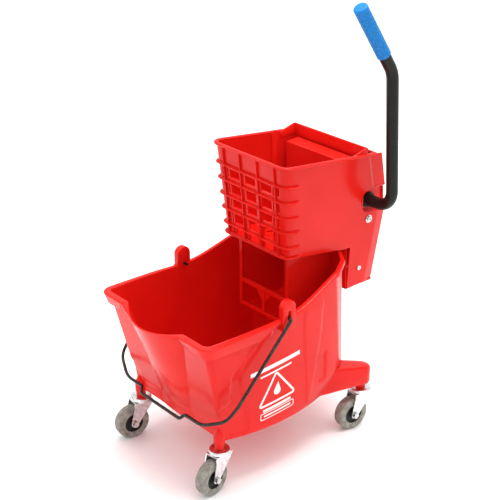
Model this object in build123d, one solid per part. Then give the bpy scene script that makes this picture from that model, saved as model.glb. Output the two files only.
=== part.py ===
"""Mop bucket on four swivel casters with a lift-off side-press wringer.

Millimetres, +Z up, floor at Z = 0.  -Y is the pouring front, +Y the wringer end, +X the side
of the wringer handle.  The parts are drawn about the tub's own centre line and moved by
ORIGIN_SHIFT along Y as they are written, which puts the origin under the middle of the box.
"""

import os
from math import cos, radians, sin

from build123d import *

ORIGIN_SHIFT = 7.0

# ---------------------------------------------------------------- tub
FLOOR_Z = 111.0                 # underside of the tub floor
FLOOR_T = 4.0
WALL = 3.5
BEND_Z = 165.0                  # where the rear floor rounding meets the rear wall
LOFT_TOP = 430.0                # the walls are lofted past the rim, then cut to its line
RIM_FRONT_Z = 361.0
RIM_REAR_Z = 418.0
RIM_RISE_FROM = -75.0           # the rim starts to rise here and is level again at RIM_RISE_TO
RIM_RISE_TO = 160.0
FLANGE_OUT = 11.0               # the rolled rim stands this far out of the wall
FLANGE_T = 3.0
SKIRT_DEEP = 26.0
SPOUT_HALF = 95.0
SPOUT_DIP = 12.0
# outline of the walls at three heights: height, front half width, front Y, side Y and half
# width at the widest, rear half width and Y where the side ends, half width and Y of the rear
# wall, bulge of the pouring face
OUTLINES = [
    (FLOOR_Z, 138.0, -208.0, -35.0, 165.0, 132.0, 92.0, 78.0, 132.0, 2.0),
    (BEND_Z, 144.0, -219.0, -40.0, 166.0, 152.0, 96.0, 66.0, 165.0, 8.0),
    (LOFT_TOP, 168.0, -283.0, -90.0, 171.5, 156.0, 64.0, 55.0, 165.0, 52.0),
]
CORNER = 7.0                    # radius of the front corners of the walls
CORNER_GROWTH = 0.6             # how fast that radius grows outside them

# ---------------------------------------------------------------- casters
WHEEL_R = 38.1
TYRE_W = 24.0
HUB_R = 22.0
TRAIL = 25.5
FORK_GAP = 28.0
FORK_T = 2.5
CROWN_Z = 86.0
RACE_Z = 89.5
RACE_TOP = 96.5
RACE_R = 23.5
STEM_R = 5.5
STEM_TOP = 130.0
POST_R = 10.5
AXLE_R = 4.0
RUNNING = 0.05                  # radial clearance of every running or push fit
CASTERS = {                     # stem X, stem Y, heading of the trail in degrees
    "front_left": (-137.4, -210.7, 262.0),
    "front_right": (137.4, -210.7, 278.0),
    "rear_left": (-150.2, 184.7, 270.0),
    "rear_right": (150.2, 184.7, 263.0),
}
LEG_R = 20.0                    # rear leg round its caster stem
LEG_ROOT = (112.0, 80.0, 32.0)  # X, Y and radius where a rear leg grows out of the tub
LEG_TOPS = ((95.0, 163.0), (205.0, 149.0))   # Y and height of the leg's sloping top, at root and end
FRONT_POST_R = 15.5             # the front posts swell to this and taper into the corners
FRONT_POST_HIGH = 34.0
FRONT_TAPER = (6.0, 44.0)       # end radius and height of the taper

# ---------------------------------------------------------------- carrying bail
BAIL_Y = -61.0
BAIL_Z = 362.0
BAIL_R = 3.5
BAIL_X = 187.5                  # plane of each arm
BAIL_REACH = 275.0
BAIL_GRIP = 288.0
BAIL_GRIP_HALF = 67.0
BAIL_DROP = 46.6                # degrees below level as it hangs
BOSS_X = 167.0
BOSS_OUT = 181.0
BOSS_R = 17.0
BOSS_TOP = 401.0

# ---------------------------------------------------------------- wringer
W_TOP = 660.0
W_BOTTOM = 317.0
W_HALF_BOTTOM = 95.0
W_FLARE = 20.7 / 332.0          # half width gained per millimetre of height
W_FRONT_TOP = (-17.0, 649.0)
W_FRONT_LOW = (2.0, 445.0)
W_WALL = 4.0
W_BACK_Y = 217.0                # rear face of the basket's back wall
W_BACK_TOP = 642.0              # the back wall stands above the side rims
RETURN_Y = 168.0                # its ends slope down to the side rims from here
REAR_Y = 288.0
# side plate, seen along X
SIDE_OUTLINE = [
    (W_FRONT_LOW[0] - 20.0, W_FRONT_LOW[1]), (150.0, 423.0), (168.0, 420.0), (183.0, 420.0),
    (183.0, W_BOTTOM), (265.0, 321.0), (REAR_Y, 484.0), (281.0, 535.0), (260.0, 621.0),
    (214.0, 627.0), (-40.0, 652.5),
]
COVER_T = 3.0
COVER_FRONT = [(265.0, 323.5), (REAR_Y, 484.0), (281.0, 535.0), (260.0, 620.0)]
SCREWS = [(234.0, 475.0), (217.0, 361.0)]   # Y, Z of the clamp screw and the cover screw
SCREW_R = (3.0, 7.0, 9.0)       # shank, head and washer of the clamp screws
SMALL_HEAD_R = 5.5
LEDGES = [608.0, 573.0, 538.0, 505.0, 470.0]
LEDGE_OUT = 6.0
LEDGE_T = 4.5
LEDGE_WRAP = 34.0               # ledges run back this far from the front face
LEDGE_IN = 2.0                  # ledges are rooted this deep in the wall
RIB_X = [-80.0, -27.0, 27.0, 80.0]
CHUTE_HALF = 79.5
CHUTE_Y = (25.0, 152.0)
CHUTE_BOTTOM = 270.0
CHUTE_BAR_Z = 330.0

# ---------------------------------------------------------------- press and handle
SHAFT = (235.0, 518.0)          # Y, Z of the handle's shaft
BUSH_R = 16.0
BUSH_FLANGE_R = 17.5
RECESS_R = 23.0                 # shallow recess round the shaft in each side plate
SPRING = (5.0, 50.0, 15.6, 1.5)  # pitch, length, coil radius and wire radius of the return spring
CRANK_HUB_R = 21.0
PIN_R = 3.5                     # crank pins, inside their rollers
PIVOT_R = 4.0
PIVOT = (172.0, 455.0)          # Y, Z of the press plate's pivot
RATIO = 0.4                     # plate turn per handle turn
HANDLE_TRAVEL = 60.0
CRANK_R = 62.0
CRANK_BACK = 10.0               # the cranks lean this many degrees back at rest
ROLLER_R = 6.0
SLOT_CLEAR = 0.5
RIB_IN, RIB_OUT = 55.0, 61.0
CRANK_IN, CRANK_OUT = 63.0, 69.0
HUB_OUT = 81.0
PLATE_HALF = 95.0
PLATE_Y = 174.0
PLATE_T = 5.0
PLATE_TOP = 612.0
PLATE_LOW = 462.0
APRON_BACK = 208.0
TUBE_R = 12.7
TUBE_WALL = 2.0
TUBE_X = 171.0
ELBOW_R = 40.0
LEAN = 3.65
KNEE_Z = 817.0
KNEE_LEAN = 34.4
KNEE_R = 60.0
GRIP_R = 15.0
GRIP_LENGTH = 128.0
GRIP_FROM = 48.0                # from the knee, along the tube

parts = {}


def wringer_half(z):
    return W_HALF_BOTTOM + W_FLARE * (z - W_BOTTOM)


def wringer_front(z):
    slope = (W_FRONT_TOP[0] - W_FRONT_LOW[0]) / (W_FRONT_TOP[1] - W_FRONT_LOW[1])
    return W_FRONT_LOW[0] + slope * (z - W_FRONT_LOW[1])


def along_x(outline, x0, x1):
    """Prism along X from Y, Z points."""
    face = Plane.YZ * make_face(Polyline(*outline, close=True))
    return Pos(x0, 0, 0) * extrude(face, x1 - x0)


def rod_x(radius, x0, x1, y, z):
    return Pos((x0 + x1) / 2, y, z) * Rot(0, 90, 0) * Cylinder(radius, x1 - x0)


def both_sides(shape):
    return [shape, mirror(shape, Plane.YZ)]


def turned(point, centre, angle):
    """Y, Z point turned about +X at centre; a positive angle takes +Z towards -Y."""
    y, z = point[0] - centre[0], point[1] - centre[1]
    a = radians(angle)
    return (centre[0] + y * cos(a) - z * sin(a), centre[1] + y * sin(a) + z * cos(a))


# ================================================================ tub
def tub_outline(values, out):
    """Closed wall outline at one height; out is the distance outside the wall's outer face."""
    z, xf, yf, yw, xw, xs, ys, xr, yr, bulge = values
    corner = CORNER + CORNER_GROWTH * out
    front = yf - out
    side = (xf + 8.0 + out, yf + corner)
    rear_mid = (xr + (xs - xr) * 0.72 + out * 0.7, ys + (yr - ys) * 0.70 + out * 0.7)
    right = [
        Line((SPOUT_HALF * xf / 168.0, front), (xf + 8.0 - corner, front)),
        ThreePointArc((xf + 8.0 - corner, front),
                      (xf + 8.0 + out - corner * 0.29, front + corner * 0.29), side),
        ThreePointArc(side, (xw + out, yw), (xs + out, ys)),
        ThreePointArc((xs + out, ys), rear_mid, (xr, yr + out)),
    ]
    left = [mirror(edge, Plane.YZ) for edge in right]
    half = SPOUT_HALF * xf / 168.0
    spout = ThreePointArc((half, front), (0, front - bulge), (-half, front))
    rear = Line((xr, yr + out), (-xr, yr + out))
    return Pos(0, 0, z) * make_face(Curve() + [spout, rear] + right + left)


def tub_loft(out, floor):
    """Solid bounded by the walls moved outward by out, standing on the given floor height."""
    outlines = [tub_outline(values, out) for values in OUTLINES]
    solid = loft(outlines, ruled=True)
    return solid - Pos(0, 0, floor - 300) * Box(900, 900, 600)


def rim_band(top, bottom):
    """Prism along X that keeps what lies between two offsets from the rim line."""
    def line(offset):
        return [(-320.0, RIM_FRONT_Z + offset), (RIM_RISE_FROM, RIM_FRONT_Z + offset),
                (RIM_RISE_TO, RIM_REAR_Z + offset), (240.0, RIM_REAR_Z + offset)]

    def rise(offset):
        a, b, c, d = line(offset)
        curve = Spline(b, (27.0, 381.0 + offset), (72.0, 396.0 + offset), c,
                       tangents=[(1, 0), (1, 0)])
        return [Line(a, b), curve, Line(c, d)]

    upper, lower = rise(top), rise(bottom)
    ends = [Line(upper[0] @ 0, lower[0] @ 0), Line(upper[2] @ 1, lower[2] @ 1)]
    face = Plane.YZ * make_face(Curve() + upper + lower + ends)
    return Pos(-260, 0, 0) * extrude(face, 520)


def tub_legs():
    """Rear legs that flare out to the rear stems, and the posts over all four casters."""
    pieces = []
    for name, (x, y, heading) in CASTERS.items():
        side = 1 if x > 0 else -1
        pieces.append(Pos(x, y, (RACE_TOP + STEM_TOP) / 2 + 3) * Cylinder(POST_R, STEM_TOP - RACE_TOP + 6))
        if "rear" in name:
            root_x, root_y, root_r = LEG_ROOT
            plan = make_hull((Pos(x, y) * Circle(LEG_R)).edges()
                             + (Pos(side * root_x, root_y) * Circle(root_r)).edges())
            leg = Pos(0, 0, FLOOR_Z) * extrude(plan, LEG_TOPS[0][1] - FLOOR_Z)
            above = [LEG_TOPS[0], LEG_TOPS[1], (300, LEG_TOPS[1][1]), (300, 300), (LEG_TOPS[0][0], 300)]
            pieces.append(leg - along_x(above, -200, 200))
        else:
            end_r, taper = FRONT_TAPER
            pieces.append(Pos(x, y, FLOOR_Z + FRONT_POST_HIGH / 2) * Cylinder(FRONT_POST_R, FRONT_POST_HIGH))
            pieces.append(Pos(x, y, FLOOR_Z + FRONT_POST_HIGH + taper / 2) * Cone(FRONT_POST_R, end_r, taper))
    return pieces


def make_tub():
    floor = FLOOR_Z + FLOOR_T
    walls = tub_loft(0, FLOOR_Z) & rim_band(0, -400)
    shell = walls
    for piece in tub_legs():
        shell = shell + piece
    shell = shell - (tub_loft(-WALL, floor) & rim_band(60, -400))
    flange = (tub_loft(FLANGE_OUT, FLOOR_Z) & rim_band(0, -SKIRT_DEEP)) - tub_loft(-WALL / 2, FLOOR_Z)
    under = tub_loft(FLANGE_OUT - FLANGE_T, FLOOR_Z) & rim_band(-FLANGE_T, -SKIRT_DEEP - 5)
    flange = flange - (under - tub_loft(-WALL / 2, FLOOR_Z))
    flange = flange - Pos(0, -280, RIM_FRONT_Z) * Box(2 * SPOUT_HALF, 120, 200)
    shell = shell + flange
    for boss in both_sides(bail_boss()):
        shell = shell + boss
    dip_r = SPOUT_HALF ** 2 / (2 * SPOUT_DIP) + SPOUT_DIP / 2
    dip = Plane.XZ * Pos(0, RIM_FRONT_Z - SPOUT_DIP + dip_r) * Circle(dip_r)
    shell = shell - Pos(0, -245, 0) * extrude(dip, 100)
    for x, y, heading in CASTERS.values():
        if y < 0:
            high = STEM_TOP + 4 - FLOOR_Z
            shell = shell + Pos(x, y, FLOOR_Z + high / 2) * Cylinder(POST_R, high)
        socket = Cylinder(STEM_R + RUNNING, STEM_TOP - RACE_TOP)
        shell = shell - Pos(x, y, (RACE_TOP + STEM_TOP) / 2) * socket
    shell = shell - rod_x(BAIL_R + RUNNING, -BOSS_OUT - 5, BOSS_OUT + 5, BAIL_Y, BAIL_Z)
    return shell.solids().sort_by(SortBy.VOLUME)[-1]


def bail_boss():
    centre_z = BOSS_TOP - BOSS_R
    low = RIM_FRONT_Z - SKIRT_DEEP
    plate = Pos((BOSS_X + BOSS_OUT) / 2, BAIL_Y, (centre_z + low) / 2) * \
        Box(BOSS_OUT - BOSS_X, 2 * BOSS_R, centre_z - low)
    return plate + rod_x(BOSS_R, BOSS_X, BOSS_OUT, BAIL_Y, centre_z)


# ================================================================ casters
def make_caster(place, x, y, heading):
    """Stem and raceway stay with the tub, the fork swivels, the wheel rolls."""
    at = Pos(x, y, 0) * Rot(0, 0, heading)
    head_z = CROWN_Z - 4.0
    stem = Pos(0, 0, (head_z + STEM_TOP) / 2) * Cylinder(STEM_R, STEM_TOP - 0.5 - head_z)
    stem = stem + Pos(0, 0, head_z + 1.8) * Cylinder(9.0, 3.6)
    parts[f"{place}_stem"] = at * stem

    race = Pos(0, 0, (RACE_Z + RACE_TOP) / 2) * Cylinder(RACE_R, RACE_TOP - RACE_Z)
    race = fillet(race.edges().group_by(Axis.Z)[-1], 3.0)
    race = race - Pos(0, 0, RACE_Z) * Cylinder(STEM_R + RUNNING, 40)
    race = race - Pos(0, 0, RACE_Z) * Cylinder(RACE_R - 3.0, 3.0)
    parts[f"{place}_raceway"] = at * race

    parts[f"{place}_fork"] = at * make_fork()

    outer = FORK_GAP / 2 + FORK_T
    axle = Rot(90, 0, 0) * Cylinder(AXLE_R, 2 * outer + 8)
    head = Rot(90, 0, 0) * Pos(0, 0, outer + 2.1) * Cylinder(6.5, 4)
    nut = Rot(90, 0, 0) * Pos(0, 0, -outer - 3.1) * extrude(RegularPolygon(7.0, 6), 3.0, both=True)
    parts[f"{place}_axle_bolt"] = at * Pos(TRAIL, 0, WHEEL_R) * (axle + head + nut)

    hub = Rot(90, 0, 0) * Cylinder(HUB_R - RUNNING, TYRE_W - 2)
    hub = hub + Rot(90, 0, 0) * Cylinder(9.0, FORK_GAP - 1)
    for side in (-1, 1):
        groove = Rot(90, 0, 0) * Pos(0, 0, side * (TYRE_W / 2 - 1)) * (Cylinder(19, 4) - Cylinder(12, 4))
        hub = hub - groove
    hub = hub - Rot(90, 0, 0) * Cylinder(AXLE_R + RUNNING, 60)
    parts[f"{place}_hub"] = at * Pos(TRAIL, 0, WHEEL_R) * hub

    ring = Plane.XZ * Pos((HUB_R + WHEEL_R) / 2, 0) * Rectangle(WHEEL_R - HUB_R, TYRE_W)
    ring = fillet(ring.vertices().group_by(Axis.X)[-1], 5.0)
    tyre = Rot(90, 0, 0) * revolve(ring, Axis.Z)
    parts[f"{place}_tyre"] = at * Pos(TRAIL, 0, WHEEL_R) * tyre


def make_fork():
    crown = Pos(0, 0, CROWN_Z) * extrude(Circle(21.0), RACE_Z - 1.0 - CROWN_Z)
    width = FORK_GAP + 2 * FORK_T
    crown = crown + Pos(1, 0, CROWN_Z + 1.25) * Box(44, width, 2.5)
    leg_face = make_hull((Pos(TRAIL, WHEEL_R) * Circle(8.5)).edges()
                         + (Pos(1, CROWN_Z - 1) * Rectangle(44, 5)).edges())
    leg = Plane.XZ * leg_face
    fork = crown
    for side in (-1, 1):
        fork = fork + Pos(0, side * (FORK_GAP / 2 + FORK_T / 2), 0) * extrude(leg, FORK_T / 2, both=True)
    fork = fork - Pos(TRAIL, 0, WHEEL_R) * Rot(90, 0, 0) * Cylinder(AXLE_R + RUNNING, 60)
    fork = fork - Pos(0, 0, CROWN_Z) * Cylinder(STEM_R + RUNNING, 20)
    return fork


# ================================================================ bail
def make_bail():
    """Bent wire; drawn flat in the XY plane reaching towards -Y, then hung at its angle."""
    corner = (130.0, BAIL_REACH)
    half = [
        (BOSS_X - 10.0, 0.0), (BAIL_X, 0.0), (BAIL_X, 205.0), (BAIL_X - 7.0, 243.0), corner,
        (BAIL_GRIP_HALF + 8, BAIL_REACH), (BAIL_GRIP_HALF, BAIL_GRIP),
    ]
    radii = [5.5, 30.0, 38.0, 60.0, 8.0, 8.0]
    points = [(x, -y) for x, y in half] + [(-x, -y) for x, y in reversed(half)]
    route = FilletPolyline(*points, radius=radii + list(reversed(radii)))
    start = Plane(origin=(points[0][0], 0, 0), z_dir=(1, 0, 0))
    wire = sweep(start * Circle(BAIL_R), path=route)
    return Pos(0, BAIL_Y, BAIL_Z) * Rot(BAIL_DROP, 0, 0) * wire


# ================================================================ wringer body
def wringer_section(z, out, back):
    """Horizontal section: tapered sides, sloping front, rounded front corners."""
    half, front = wringer_half(z) + out, wringer_front(z) - out
    face = Pos(0, (front + back) / 2) * Rectangle(2 * half, back - front)
    face = fillet(face.vertices().group_by(Axis.Y)[0], 20.0 + out)
    return Pos(0, 0, z) * face


def wringer_block(z0, z1, out, back):
    return loft([wringer_section(z0, out, back), wringer_section(z1, out, back)], ruled=True)


def basket_cavity():
    """Space for the mop, over a floor that falls towards the rear."""
    cavity = wringer_block(410.0, W_TOP + 5, -W_WALL, W_BACK_Y - W_WALL)
    below = along_x([(-60, 300), (300, 300), (300, 428), (160, 428), (0, 449), (-60, 449)], -200, 200)
    return cavity - below


def housing_cavity():
    """Space behind the basket for the shaft and cranks, open at the rear."""
    cavity = wringer_block(W_BOTTOM - 5, W_TOP + 5, -W_WALL, REAR_Y + 10)
    keep = along_x([(W_BACK_Y, 429), (187, 424), (187, W_BOTTOM + 4), (400, W_BOTTOM + 11), (400, 700),
                    (W_BACK_Y, 700)], -200, 200)
    return cavity & keep


def lattice():
    """Ledges that wrap round the front corners, and the thin uprights between them."""
    pieces = []
    for z in LEDGES + [W_FRONT_LOW[1] + LEDGE_T / 2, W_FRONT_TOP[1] - LEDGE_T]:
        low, high = z - LEDGE_T / 2, z + LEDGE_T / 2
        end = wringer_front(z) + LEDGE_WRAP
        pieces.append(wringer_block(low, high, LEDGE_OUT, end)
                      - wringer_block(low - 1, high + 1, -LEDGE_IN, end + 10))
    z0, z1 = W_FRONT_LOW[1], W_FRONT_TOP[1] - LEDGE_T
    for x in RIB_X:
        outline = [(wringer_front(z0) - 4, z0), (wringer_front(z0) + 2, z0), (wringer_front(z1) + 2, z1),
                   (wringer_front(z1) - 4, z1)]
        pieces.append(along_x(outline, x - 1.25, x + 1.25))
    return pieces


def back_wall_top():
    """Raised strip of the back wall, with the two returns that slope down to the side rims."""
    strip = wringer_block(600.0, W_BACK_TOP, -1.0, W_BACK_Y)
    strip = strip - wringer_block(595.0, W_BACK_TOP + 5, -W_WALL, W_BACK_Y - W_WALL)
    keep = [(RETURN_Y, 600), (RETURN_Y, 629), (W_BACK_Y - 8, W_BACK_TOP), (W_BACK_Y, W_BACK_TOP),
            (W_BACK_Y, 600)]
    return strip & along_x(keep, -200, 200)


def drain_holes():
    """Drain windows between the ledges of the front wall, and slots in the basket floor."""
    holes = []
    for z in LEDGES[1:] + [W_FRONT_LOW[1] + 4]:
        for x in (-100, -53.5, 0, 53.5, 100):
            wide = 14 if abs(x) > 90 else 22
            holes.append(Pos(x * 0.93, wringer_front(z) + 2, z + 17) * Box(wide, 14, 14))
    for i in range(-3, 4):
        for y in (45, 85, 125):
            holes.append(Pos(i * 21, y, 436) * Box(9, 28, 60))
    return holes


def chute():
    """Frame that hangs inside the tub and steadies the wringer."""
    y0, y1 = CHUTE_Y
    top = 446.0
    frame = Box(2 * CHUTE_HALF, y1 - y0, top - CHUTE_BOTTOM)
    frame = Pos(0, (y0 + y1) / 2, (CHUTE_BOTTOM + top) / 2) * frame
    frame = frame & along_x([(y0, CHUTE_BOTTOM), (y0, top), (y1, 424), (y1, CHUTE_BOTTOM)], -90, 90)
    inside = CHUTE_HALF - 5.0
    frame = frame - Pos(0, (y0 + y1) / 2 + 5, 340) * Box(2 * inside, y1 - y0, 300)
    window_top, window_low = 425.0, CHUTE_BAR_Z + 4.5
    window = Box(2 * inside - 8, 30, window_top - window_low)
    frame = frame - Pos(0, y0, (window_top + window_low) / 2) * window
    for side in (-1, 1):
        low_w = inside - 4 - 5
        low_z, high_z = CHUTE_BOTTOM + 8, CHUTE_BAR_Z - 4.5
        frame = frame - Pos(side * (5 + low_w / 2), y0, (low_z + high_z) / 2) * Box(low_w, 30, high_z - low_z)
    return frame


def make_wringer_body():
    outer = wringer_block(W_BOTTOM - 10, W_TOP, 0, REAR_Y + 5) & along_x(SIDE_OUTLINE, -200, 200)
    body = outer - basket_cavity() - housing_cavity()
    for piece in lattice():
        body = body + piece
    body = body + chute() + back_wall_top()
    for hole in drain_holes():
        body = body - hole
    window = Pos((RIB_IN + HUB_OUT) / 2, W_BACK_Y, 553) * Box(HUB_OUT - RIB_IN + 6, 20, 118)
    for cut in both_sides(window):
        body = body - cut
    # round recess and bush hole of the shaft, pivot holes, screw holes
    y, z = SHAFT
    for cut in both_sides(rod_x(RECESS_R, wringer_half(z) - 1.5, wringer_half(z) + 20, y, z)):
        body = body - cut
    body = body - rod_x(BUSH_R + RUNNING, -150, 150, y, z)
    for sign in (1, -1):
        boss = rod_x(9.0, wringer_half(PIVOT[1]) - W_WALL - 3.0, wringer_half(PIVOT[1]) - 1.0, *PIVOT)
        body = body + (boss if sign > 0 else mirror(boss, Plane.YZ))
    body = body - rod_x(PIVOT_R + RUNNING, -150, 150, *PIVOT)
    for y, z in SCREWS:
        body = body - rod_x(SCREW_R[0] + RUNNING, -150, 150, y, z)
    return body.solids().sort_by(SortBy.VOLUME)[-1]


# ================================================================ rear cover and screws
def make_rear_cover():
    """Bent plate that closes the housing between the two side plates."""
    front = [(y - 2 - COVER_T, z) for y, z in COVER_FRONT]
    back = [(y - 2, z) for y, z in COVER_FRONT]
    plate = along_x(front + list(reversed(back)), -150, 150)
    inner = wringer_block(W_BOTTOM - 5, W_TOP + 5, -W_WALL - 0.3, REAR_Y + 40)
    plate = plate & inner
    wings = inner - wringer_block(W_BOTTOM - 6, W_TOP + 6, -W_WALL - 2.8, REAR_Y + 41)
    wing = [(205, 338), (205, 386), (222, 440), (222, 492), (284, 492), (284, 484), (265, 338)]
    wings = wings & along_x(wing, -150, 150)
    plate = plate + wings
    for y, z in SCREWS:
        plate = plate - rod_x(SCREW_R[0] + RUNNING, -150, 150, y, z)
    return plate


def make_screw(head_r, head_t, x, y, z):
    """Pan-head cross-recess screw along X, its head outside the side plate."""
    head = rod_x(head_r, x, x + head_t, y, z)
    head = fillet(head.edges().filter_by(GeomType.CIRCLE).sort_by(Axis.X)[-1], head_t * 0.45)
    cross = Pos(x + head_t, y, z) * (Box(2.4, 1.6, head_r) + Box(2.4, head_r, 1.6))
    return head + rod_x(SCREW_R[0], x - 15, x, y, z) - cross


def make_screw_sets():
    (clamp_y, clamp_z), (cover_y, cover_z) = SCREWS
    x = wringer_half(clamp_z) + 0.6
    washer = rod_x(SCREW_R[2], x, x + 1.2, clamp_y, clamp_z)
    washer = washer - rod_x(SCREW_R[0] + RUNNING, 0, 150, clamp_y, clamp_z)
    parts["clamp_washers"] = Compound(children=both_sides(washer))
    clamp = make_screw(SCREW_R[1], 3.6, x + 1.25, clamp_y, clamp_z)
    parts["clamp_screws"] = Compound(children=both_sides(clamp))
    small = make_screw(SMALL_HEAD_R, 2.6, wringer_half(cover_z) + 0.4, cover_y, cover_z)
    parts["cover_screws"] = Compound(children=both_sides(small))


# ================================================================ press plate
def slot_points():
    """Path of the crank rollers as the plate sees it, for a constant ratio."""
    start = turned((SHAFT[0], SHAFT[1] + CRANK_R), SHAFT, -CRANK_BACK)
    points = []
    for share in (0.0, 0.5, 1.0):
        angle = HANDLE_TRAVEL * share
        pin = turned(start, SHAFT, angle)
        points.append(turned(pin, PIVOT, -RATIO * angle))
    return points


def make_press_plate():
    face = Pos(0, PLATE_Y + PLATE_T / 2, (PLATE_LOW + PLATE_TOP) / 2) * \
        Box(2 * PLATE_HALF, PLATE_T, PLATE_TOP - PLATE_LOW)
    apron = along_x([(PLATE_Y, PLATE_TOP), (PLATE_Y, PLATE_TOP - 4), (APRON_BACK, PLATE_TOP - 2),
                     (APRON_BACK, PLATE_TOP + 2)], -PLATE_HALF, PLATE_HALF)
    foot = along_x([(PLATE_Y, PLATE_LOW), (PLATE_Y - 8, PIVOT[1]), (PIVOT[0], PIVOT[1] - 8),
                    (PIVOT[0] + 8, PIVOT[1]), (PLATE_Y + PLATE_T, PLATE_LOW)], -PLATE_HALF, PLATE_HALF)
    plate = face + apron + foot
    for x in (-85, -42, 0, 42, 85):
        plate = plate + Pos(x, PLATE_Y + PLATE_T + 6, 540) * Box(3, 12, 140)
    first, middle, last = slot_points()
    rib_outline = [(PLATE_Y + 2, 592), (PLATE_Y + 2, 500), (212, 528), (242, 545), (256, 570), (256, 585),
                   (250, 592)]
    rib = along_x(rib_outline, RIB_IN, RIB_OUT)
    arc = ThreePointArc(first, middle, last)
    slot = Plane.YZ * SlotArc(arc, 2 * (ROLLER_R + SLOT_CLEAR))
    rib = rib - Pos(RIB_IN - 5, 0, 0) * extrude(slot, 20)
    for piece in both_sides(rib):
        plate = plate + piece
    plate = plate - rod_x(PIVOT_R + RUNNING, -150, 150, *PIVOT)
    return plate


# ================================================================ handle and drive
def handle_route():
    """Centre line of the tube: shaft along X, elbow, lower run, knee, grip run."""
    y, z = SHAFT
    up = (0, -sin(radians(LEAN)), cos(radians(LEAN)))
    end = (0, -sin(radians(KNEE_LEAN)), cos(radians(KNEE_LEAN)))
    corner = Vector(TUBE_X, y, z)
    knee = corner + Vector(*up) * ((KNEE_Z - z) / up[2])
    tip = knee + Vector(*end) * (GRIP_FROM + GRIP_LENGTH - 2)
    start = Vector(-wringer_half(z) - 9.0, y, z)
    return start, corner, knee, tip, Vector(*end)


def make_handle_tube():
    start, corner, knee, tip, direction = handle_route()
    route = FilletPolyline(start, corner, knee, tip, radius=[ELBOW_R, KNEE_R])
    section = Circle(TUBE_R) - Circle(TUBE_R - TUBE_WALL)
    return sweep(Plane(origin=start, z_dir=(1, 0, 0)) * section, path=route)


def make_grip():
    start, corner, knee, tip, direction = handle_route()
    base = Plane(origin=knee + direction * GRIP_FROM, z_dir=direction)
    grip = base * extrude(Circle(GRIP_R), GRIP_LENGTH)
    grip = fillet(grip.edges().filter_by(GeomType.CIRCLE), 3.0)
    return grip - base * extrude(Circle(TUBE_R + RUNNING), GRIP_LENGTH - 1)


def make_crank(sign):
    """Flat arm clamped on the shaft, with its pin pointing at the rib."""
    y, z = SHAFT
    tip = turned((y, z + CRANK_R), SHAFT, -CRANK_BACK)
    outline = make_hull((Pos(y, z) * Circle(CRANK_HUB_R)).edges() + (Pos(*tip) * Circle(9.0)).edges())
    arm = Pos(CRANK_IN, 0, 0) * extrude(Plane.YZ * outline, CRANK_OUT - CRANK_IN)
    arm = arm + rod_x(CRANK_HUB_R, CRANK_OUT, HUB_OUT, y, z)
    arm = arm - rod_x(TUBE_R + RUNNING, 0, 120, y, z)
    arm = arm + rod_x(PIN_R, RIB_IN - 2, CRANK_IN + 1, *tip)
    bolt_hole = Pos(CRANK_OUT + 6, y, z - 17) * Cylinder(2.6, 12)
    arm = arm - bolt_hole
    return arm if sign > 0 else mirror(arm, Plane.YZ)


def make_roller(sign):
    tip = turned((SHAFT[0], SHAFT[1] + CRANK_R), SHAFT, -CRANK_BACK)
    roller = rod_x(ROLLER_R, RIB_IN - 1.5, CRANK_IN - 0.3, *tip)
    roller = roller - rod_x(PIN_R + RUNNING, 0, 100, *tip)
    return roller if sign > 0 else mirror(roller, Plane.YZ)


def make_bush(sign):
    """Flanged plain bearing of the shaft in one side plate."""
    y, z = SHAFT
    wall = wringer_half(z)
    inner = wall - W_WALL - 4
    bush = rod_x(BUSH_R, inner, wall - 1.7, y, z) + rod_x(BUSH_FLANGE_R, inner, inner + 3, y, z)
    bush = bush - rod_x(TUBE_R + RUNNING, 0, 150, y, z)
    return bush if sign > 0 else mirror(bush, Plane.YZ)


def make_return_spring():
    y, z = SHAFT
    pitch, length, coil_r, wire_r = SPRING
    helix = Helix(pitch=pitch, height=length, radius=coil_r)
    wire = sweep(Plane(origin=helix @ 0, z_dir=helix % 0) * Circle(wire_r), path=helix, is_frenet=True)
    return Pos(-length / 2, y, z) * Rot(0, 90, 0) * wire


def make_wringer_set():
    y, z = SHAFT
    parts["wringer_body"] = make_wringer_body()
    parts["rear_cover"] = make_rear_cover()
    make_screw_sets()
    parts["press_plate"] = make_press_plate()
    half = wringer_half(PIVOT[1])
    pin = rod_x(PIVOT_R, PLATE_HALF - 18, half - 1.5, *PIVOT)
    parts["plate_pivot_pins"] = Compound(children=both_sides(pin))
    parts["handle_tube"] = make_handle_tube()
    parts["handle_grip"] = make_grip()
    for sign, place in ((1, "right"), (-1, "left")):
        parts[f"crank_{place}"] = make_crank(sign)
        parts[f"crank_roller_{place}"] = make_roller(sign)
        parts[f"shaft_bush_{place}"] = make_bush(sign)
    bolt = Pos(CRANK_OUT + 6, y, z - 17) * Cylinder(2.5, 8) + \
        Pos(CRANK_OUT + 6, y, z - 24) * Cylinder(5.0, 5.4)
    parts["crank_set_screws"] = Compound(children=both_sides(bolt))
    parts["return_spring"] = make_return_spring()
    cap = rod_x(TUBE_R + 3.0, -wringer_half(z) - 12.0, -wringer_half(z) - 9.2, y, z) + \
        rod_x(TUBE_R - TUBE_WALL - RUNNING, -wringer_half(z) - 9.3, -wringer_half(z) + 4, y, z)
    parts["shaft_end_cap"] = cap


def main():
    os.makedirs("parts", exist_ok=True)
    parts["tub"] = make_tub()
    parts["bail_wire"] = make_bail()
    for place, (x, y, heading) in CASTERS.items():
        make_caster(place, x, y, heading)
    make_wringer_set()
    for name, part in parts.items():
        solids = [Pos(0, ORIGIN_SHIFT, 0) * solid for solid in part.solids()]
        parts[name] = solids[0] if len(solids) == 1 else Compound(children=solids)
    box = Compound(children=[Compound(part.wrapped) for part in parts.values()]).bounding_box()
    print("box", box.min, box.max)
    for name, part in parts.items():
        export_step(part, f"parts/{name}.step")


main()
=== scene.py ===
"""Looks of a mop bucket on casters with its side-press wringer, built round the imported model."""

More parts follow.
